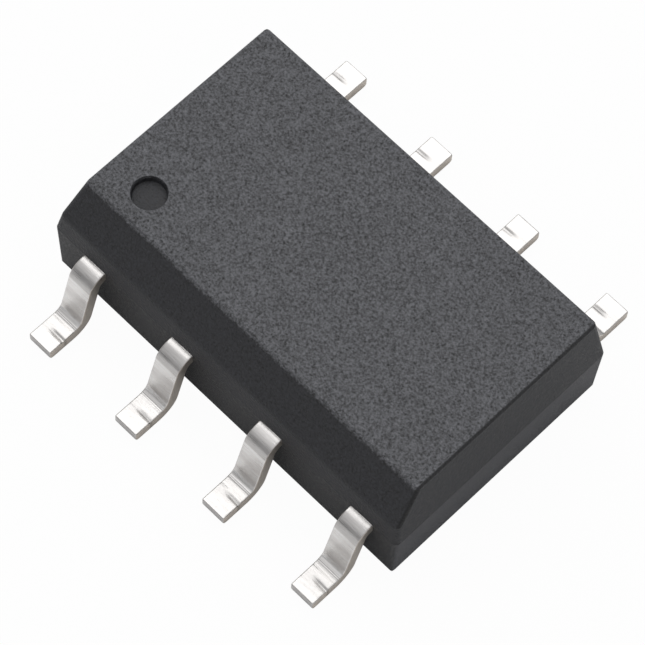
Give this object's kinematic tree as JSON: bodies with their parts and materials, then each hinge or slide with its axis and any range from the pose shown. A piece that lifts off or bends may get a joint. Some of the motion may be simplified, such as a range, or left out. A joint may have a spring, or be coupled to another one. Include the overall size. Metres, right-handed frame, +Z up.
{
  "type": "small-outline integrated circuit",
  "caption": "Small dark moulded chip with two rows of gull-wing leads, a bevelled long side and a round mark by the first lead.",
  "frame": {"origin": "middle of the seating plane under the lead feet", "axes": "+X along the lead rows away from the marked end, +Y towards the row without the bevel (leads 5 to 8), +Z up, away from the board"},
  "size_m": [0.0048, 0.0046, 0.0016],
  "materials": {
    "molding_compound": "matt, finely grained black epoxy",
    "tin_plate": "satin tin plating",
    "leadframe_copper": "plain copper alloy strip",
    "adhesive": "cured silver-filled paste",
    "silicon": "polished",
    "gold_wire": "drawn gold wire"
  },
  "bodies": {
    "root": {"mold_body": "molding_compound", "lead_1": "tin_plate", "lead_2": "tin_plate", "lead_3": "tin_plate", "lead_4": "tin_plate", "lead_5": "tin_plate", "lead_6": "tin_plate", "lead_7": "tin_plate", "lead_8": "tin_plate", "die_paddle": "leadframe_copper", "die_attach": "adhesive", "die": "silicon", "bond_wire_1": "gold_wire", "bond_wire_2": "gold_wire", "bond_wire_3": "gold_wire", "bond_wire_4": "gold_wire", "bond_wire_5": "gold_wire", "bond_wire_6": "gold_wire", "bond_wire_7": "gold_wire", "bond_wire_8": "gold_wire"}
  },
  "joints": []
}
